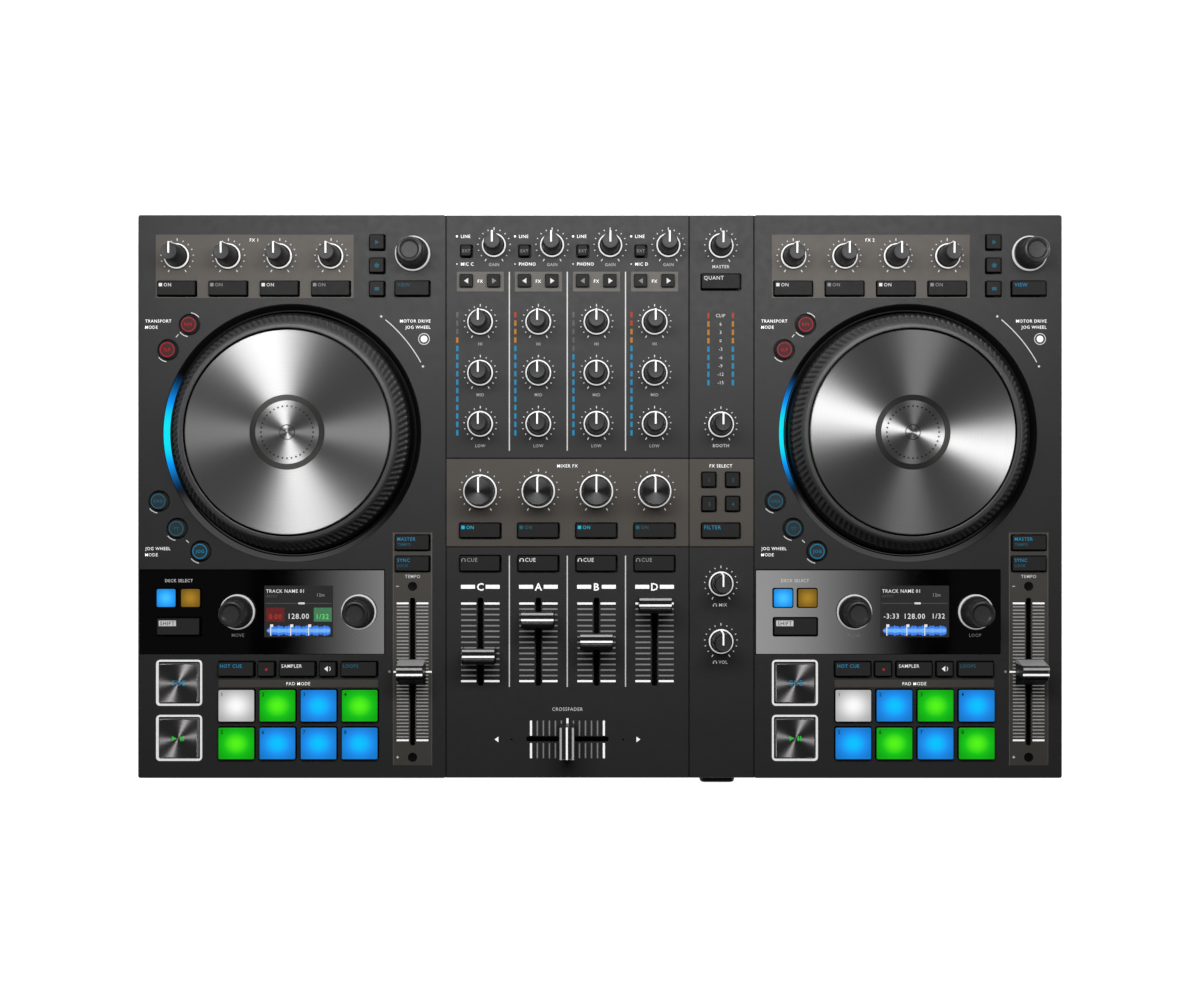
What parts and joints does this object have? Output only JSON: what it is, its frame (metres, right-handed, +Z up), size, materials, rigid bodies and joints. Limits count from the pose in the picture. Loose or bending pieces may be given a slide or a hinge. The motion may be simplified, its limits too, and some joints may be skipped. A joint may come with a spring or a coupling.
{
  "type": "dj controller",
  "caption": "Flat DJ controller with two jog wheel decks, displays, pads and a central mixer of knobs and faders.",
  "frame": {"origin": "centre of the footprint on the surface the feet stand on", "axes": "+X to the user's right, +Y away from the user towards the sockets, +Z up"},
  "size_m": [0.525, 0.3228, 0.0567],
  "materials": {
    "panel_plastic": "fine textured charcoal",
    "case_plastic": "textured black",
    "screen_glass": "polished black cover",
    "board": "solder mask",
    "motor_metal": "turned",
    "jog_rubber": "knurled",
    "jog_metal": "radial brushed",
    "spun_metal": "dark, spun",
    "fader_cap": "satin",
    "silicone": "soft matte",
    "knob_plastic": "soft touch",
    "marking_ink": "printed",
    "led_blue": "lit",
    "led_warm": "lit",
    "pad_lit": "lit translucent silicone",
    "connector_metal": "plated",
    "foot_rubber": "matte"
  },
  "bodies": {
    "chassis": {"base_case": "case_plastic", "top_panel": "panel_plastic", "main_board": "board", "rear_io_panel": "case_plastic", "screen_glass_left": "screen_glass", "screen_glass_right": "screen_glass", "jog_motor_left": "motor_metal", "jog_motor_right": "motor_metal"},
    "jog_left": {"jog_rim_left": "jog_rubber", "jog_plate_left": "jog_metal"},
    "fx_knob_left_1": {"fx_knob_left_1": "knob_plastic"},
    "fx_knob_left_2": {"fx_knob_left_2": "knob_plastic"},
    "fx_knob_left_3": {"fx_knob_left_3": "knob_plastic"},
    "fx_knob_left_4": {"fx_knob_left_4": "knob_plastic"},
    "browse_encoder_left": {"browse_encoder_left": "knob_plastic"},
    "move_encoder_left": {"move_encoder_left": "knob_plastic"},
    "loop_encoder_left": {"loop_encoder_left": "knob_plastic"},
    "tempo_fader_left": {"tempo_fader_left": "fader_cap"},
    "deck_keymat_left": {"deck_keymat_left": "silicone"},
    "jog_right": {"jog_rim_right": "jog_rubber", "jog_plate_right": "jog_metal"},
    "fx_knob_right_1": {"fx_knob_right_1": "knob_plastic"},
    "fx_knob_right_2": {"fx_knob_right_2": "knob_plastic"},
    "fx_knob_right_3": {"fx_knob_right_3": "knob_plastic"},
    "fx_knob_right_4": {"fx_knob_right_4": "knob_plastic"},
    "browse_encoder_right": {"browse_encoder_right": "knob_plastic"},
    "move_encoder_right": {"move_encoder_right": "knob_plastic"},
    "loop_encoder_right": {"loop_encoder_right": "knob_plastic"},
    "tempo_fader_right": {"tempo_fader_right": "fader_cap"},
    "deck_keymat_right": {"deck_keymat_right": "silicone"},
    "high_knob_c": {"high_knob_c": "knob_plastic"},
    "mid_knob_c": {"mid_knob_c": "knob_plastic"},
    "low_knob_c": {"low_knob_c": "knob_plastic"},
    "gain_knob_c": {"gain_knob_c": "knob_plastic"},
    "mixer_fx_knob_c": {"mixer_fx_knob_c": "spun_metal"},
    "channel_fader_c": {"channel_fader_c": "fader_cap"},
    "high_knob_a": {"high_knob_a": "knob_plastic"},
    "mid_knob_a": {"mid_knob_a": "knob_plastic"},
    "low_knob_a": {"low_knob_a": "knob_plastic"},
    "gain_knob_a": {"gain_knob_a": "knob_plastic"},
    "mixer_fx_knob_a": {"mixer_fx_knob_a": "spun_metal"},
    "channel_fader_a": {"channel_fader_a": "fader_cap"},
    "high_knob_b": {"high_knob_b": "knob_plastic"},
    "mid_knob_b": {"mid_knob_b": "knob_plastic"},
    "low_knob_b": {"low_knob_b": "knob_plastic"},
    "gain_knob_b": {"gain_knob_b": "knob_plastic"},
    "mixer_fx_knob_b": {"mixer_fx_knob_b": "spun_metal"},
    "channel_fader_b": {"channel_fader_b": "fader_cap"},
    "high_knob_d": {"high_knob_d": "knob_plastic"},
    "mid_knob_d": {"mid_knob_d": "knob_plastic"},
    "low_knob_d": {"low_knob_d": "knob_plastic"},
    "gain_knob_d": {"gain_knob_d": "knob_plastic"},
    "mixer_fx_knob_d": {"mixer_fx_knob_d": "spun_metal"},
    "channel_fader_d": {"channel_fader_d": "fader_cap"},
    "master_knob": {"master_knob": "knob_plastic"},
    "booth_knob": {"booth_knob": "knob_plastic"},
    "cue_mix_knob": {"cue_mix_knob": "knob_plastic"},
    "cue_volume_knob": {"cue_volume_knob": "knob_plastic"},
    "crossfader": {"crossfader": "fader_cap"},
    "mixer_keymat": {"mixer_keymat": "silicone"}
  },
  "joints": [
    {"name": "jog_left_turn", "type": "hinge", "parent": "chassis", "child": "jog_left", "pos_m": [-0.175, 0.0374, 0.041], "axis": [0, 0, 1], "continuous": true},
    {"name": "fx_knob_left_1_turn", "type": "hinge", "parent": "chassis", "child": "fx_knob_left_1", "pos_m": [-0.2402, 0.1378, 0.041], "axis": [0, 0, 1], "range_deg": [-150, 150]},
    {"name": "fx_knob_left_2_turn", "type": "hinge", "parent": "chassis", "child": "fx_knob_left_2", "pos_m": [-0.21105, 0.1378, 0.041], "axis": [0, 0, 1], "range_deg": [-150, 150]},
    {"name": "fx_knob_left_3_turn", "type": "hinge", "parent": "chassis", "child": "fx_knob_left_3", "pos_m": [-0.1819, 0.1378, 0.041], "axis": [0, 0, 1], "range_deg": [-150, 150]},
    {"name": "fx_knob_left_4_turn", "type": "hinge", "parent": "chassis", "child": "fx_knob_left_4", "pos_m": [-0.15275, 0.1378, 0.041], "axis": [0, 0, 1], "range_deg": [-150, 150]},
    {"name": "browse_encoder_left_turn", "type": "hinge", "parent": "chassis", "child": "browse_encoder_left", "pos_m": [-0.1063, 0.1393, 0.041], "axis": [0, 0, 1], "continuous": true},
    {"name": "move_encoder_left_turn", "type": "hinge", "parent": "chassis", "child": "move_encoder_left", "pos_m": [-0.2057, -0.0641, 0.041], "axis": [0, 0, 1], "continuous": true},
    {"name": "loop_encoder_left_turn", "type": "hinge", "parent": "chassis", "child": "loop_encoder_left", "pos_m": [-0.1368, -0.0641, 0.041], "axis": [0, 0, 1], "continuous": true},
    {"name": "tempo_fader_left_slide", "type": "slide", "parent": "chassis", "child": "tempo_fader_left", "axis": [0, 1, 0], "range_m": [-0.0389, 0.0389]},
    {"name": "deck_keymat_left_slide", "type": "slide", "parent": "chassis", "child": "deck_keymat_left", "axis": [0, 0, 1], "range_m": [-0.001, 0], "stiffness_N_per_m": 2000, "springref_m": 0.002},
    {"name": "jog_right_turn", "type": "hinge", "parent": "chassis", "child": "jog_right", "pos_m": [0.175, 0.0374, 0.041], "axis": [0, 0, 1], "continuous": true},
    {"name": "fx_knob_right_1_turn", "type": "hinge", "parent": "chassis", "child": "fx_knob_right_1", "pos_m": [0.1098, 0.1378, 0.041], "axis": [0, 0, 1], "range_deg": [-150, 150]},
    {"name": "fx_knob_right_2_turn", "type": "hinge", "parent": "chassis", "child": "fx_knob_right_2", "pos_m": [0.13895, 0.1378, 0.041], "axis": [0, 0, 1], "range_deg": [-150, 150]},
    {"name": "fx_knob_right_3_turn", "type": "hinge", "parent": "chassis", "child": "fx_knob_right_3", "pos_m": [0.1681, 0.1378, 0.041], "axis": [0, 0, 1], "range_deg": [-150, 150]},
    {"name": "fx_knob_right_4_turn", "type": "hinge", "parent": "chassis", "child": "fx_knob_right_4", "pos_m": [0.19725, 0.1378, 0.041], "axis": [0, 0, 1], "range_deg": [-150, 150]},
    {"name": "browse_encoder_right_turn", "type": "hinge", "parent": "chassis", "child": "browse_encoder_right", "pos_m": [0.2437, 0.1393, 0.041], "axis": [0, 0, 1], "continuous": true},
    {"name": "move_encoder_right_turn", "type": "hinge", "parent": "chassis", "child": "move_encoder_right", "pos_m": [0.1443, -0.0641, 0.041], "axis": [0, 0, 1], "continuous": true},
    {"name": "loop_encoder_right_turn", "type": "hinge", "parent": "chassis", "child": "loop_encoder_right", "pos_m": [0.2132, -0.0641, 0.041], "axis": [0, 0, 1], "continuous": true},
    {"name": "tempo_fader_right_slide", "type": "slide", "parent": "chassis", "child": "tempo_fader_right", "axis": [0, 1, 0], "range_m": [-0.0389, 0.0389]},
    {"name": "deck_keymat_right_slide", "type": "slide", "parent": "chassis", "child": "deck_keymat_right", "axis": [0, 0, 1], "range_m": [-0.001, 0], "stiffness_N_per_m": 2000, "springref_m": 0.002},
    {"name": "high_knob_c_turn", "type": "hinge", "parent": "chassis", "child": "high_knob_c", "pos_m": [-0.068, 0.1005, 0.041], "axis": [0, 0, 1], "range_deg": [-150, 150]},
    {"name": "mid_knob_c_turn", "type": "hinge", "parent": "chassis", "child": "mid_knob_c", "pos_m": [-0.068, 0.0716, 0.041], "axis": [0, 0, 1], "range_deg": [-150, 150]},
    {"name": "low_knob_c_turn", "type": "hinge", "parent": "chassis", "child": "low_knob_c", "pos_m": [-0.068, 0.0426, 0.041], "axis": [0, 0, 1], "range_deg": [-150, 150]},
    {"name": "gain_knob_c_turn", "type": "hinge", "parent": "chassis", "child": "gain_knob_c", "pos_m": [-0.0602, 0.144, 0.041], "axis": [0, 0, 1], "range_deg": [-150, 150]},
    {"name": "mixer_fx_knob_c_turn", "type": "hinge", "parent": "chassis", "child": "mixer_fx_knob_c", "pos_m": [-0.068, 0.0044, 0.041], "axis": [0, 0, 1], "range_deg": [-150, 150]},
    {"name": "channel_fader_c_slide", "type": "slide", "parent": "chassis", "child": "channel_fader_c", "axis": [0, 1, 0], "range_m": [-0.0154, 0.0287]},
    {"name": "high_knob_a_turn", "type": "hinge", "parent": "chassis", "child": "high_knob_a", "pos_m": [-0.035, 0.1005, 0.041], "axis": [0, 0, 1], "range_deg": [-150, 150]},
    {"name": "mid_knob_a_turn", "type": "hinge", "parent": "chassis", "child": "mid_knob_a", "pos_m": [-0.035, 0.0716, 0.041], "axis": [0, 0, 1], "range_deg": [-150, 150]},
    {"name": "low_knob_a_turn", "type": "hinge", "parent": "chassis", "child": "low_knob_a", "pos_m": [-0.035, 0.0426, 0.041], "axis": [0, 0, 1], "range_deg": [-150, 150]},
    {"name": "gain_knob_a_turn", "type": "hinge", "parent": "chassis", "child": "gain_knob_a", "pos_m": [-0.0272, 0.144, 0.041], "axis": [0, 0, 1], "range_deg": [-150, 150]},
    {"name": "mixer_fx_knob_a_turn", "type": "hinge", "parent": "chassis", "child": "mixer_fx_knob_a", "pos_m": [-0.035, 0.0044, 0.041], "axis": [0, 0, 1], "range_deg": [-150, 150]},
    {"name": "channel_fader_a_slide", "type": "slide", "parent": "chassis", "child": "channel_fader_a", "axis": [0, 1, 0], "range_m": [-0.0359, 0.0082]},
    {"name": "high_knob_b_turn", "type": "hinge", "parent": "chassis", "child": "high_knob_b", "pos_m": [-0.002, 0.1005, 0.041], "axis": [0, 0, 1], "range_deg": [-150, 150]},
    {"name": "mid_knob_b_turn", "type": "hinge", "parent": "chassis", "child": "mid_knob_b", "pos_m": [-0.002, 0.0716, 0.041], "axis": [0, 0, 1], "range_deg": [-150, 150]},
    {"name": "low_knob_b_turn", "type": "hinge", "parent": "chassis", "child": "low_knob_b", "pos_m": [-0.002, 0.0426, 0.041], "axis": [0, 0, 1], "range_deg": [-150, 150]},
    {"name": "gain_knob_b_turn", "type": "hinge", "parent": "chassis", "child": "gain_knob_b", "pos_m": [0.0058, 0.144, 0.041], "axis": [0, 0, 1], "range_deg": [-150, 150]},
    {"name": "mixer_fx_knob_b_turn", "type": "hinge", "parent": "chassis", "child": "mixer_fx_knob_b", "pos_m": [-0.002, 0.0044, 0.041], "axis": [0, 0, 1], "range_deg": [-150, 150]},
    {"name": "channel_fader_b_slide", "type": "slide", "parent": "chassis", "child": "channel_fader_b", "axis": [0, 1, 0], "range_m": [-0.0238, 0.0203]},
    {"name": "high_knob_d_turn", "type": "hinge", "parent": "chassis", "child": "high_knob_d", "pos_m": [0.031, 0.1005, 0.041], "axis": [0, 0, 1], "range_deg": [-150, 150]},
    {"name": "mid_knob_d_turn", "type": "hinge", "parent": "chassis", "child": "mid_knob_d", "pos_m": [0.031, 0.0716, 0.041], "axis": [0, 0, 1], "range_deg": [-150, 150]},
    {"name": "low_knob_d_turn", "type": "hinge", "parent": "chassis", "child": "low_knob_d", "pos_m": [0.031, 0.0426, 0.041], "axis": [0, 0, 1], "range_deg": [-150, 150]},
    {"name": "gain_knob_d_turn", "type": "hinge", "parent": "chassis", "child": "gain_knob_d", "pos_m": [0.0388, 0.144, 0.041], "axis": [0, 0, 1], "range_deg": [-150, 150]},
    {"name": "mixer_fx_knob_d_turn", "type": "hinge", "parent": "chassis", "child": "mixer_fx_knob_d", "pos_m": [0.031, 0.0044, 0.041], "axis": [0, 0, 1], "range_deg": [-150, 150]},
    {"name": "channel_fader_d_slide", "type": "slide", "parent": "chassis", "child": "channel_fader_d", "axis": [0, 1, 0], "range_m": [-0.0441, 0]},
    {"name": "master_knob_turn", "type": "hinge", "parent": "chassis", "child": "master_knob", "pos_m": [0.0687, 0.1437, 0.041], "axis": [0, 0, 1], "range_deg": [-150, 150]},
    {"name": "booth_knob_turn", "type": "hinge", "parent": "chassis", "child": "booth_knob", "pos_m": [0.0687, 0.0423, 0.041], "axis": [0, 0, 1], "range_deg": [-150, 150]},
    {"name": "cue_mix_knob_turn", "type": "hinge", "parent": "chassis", "child": "cue_mix_knob", "pos_m": [0.0687, -0.0481, 0.041], "axis": [0, 0, 1], "range_deg": [-150, 150]},
    {"name": "cue_volume_knob_turn", "type": "hinge", "parent": "chassis", "child": "cue_volume_knob", "pos_m": [0.0687, -0.0808, 0.041], "axis": [0, 0, 1], "range_deg": [-150, 150]},
    {"name": "crossfader_slide", "type": "slide", "parent": "chassis", "child": "crossfader", "axis": [1, 0, 0], "range_m": [-0.0207, 0.0207]},
    {"name": "mixer_keymat_slide", "type": "slide", "parent": "chassis", "child": "mixer_keymat", "axis": [0, 0, 1], "range_m": [-0.001, 0], "stiffness_N_per_m": 2000, "springref_m": 0.002}
  ]
}
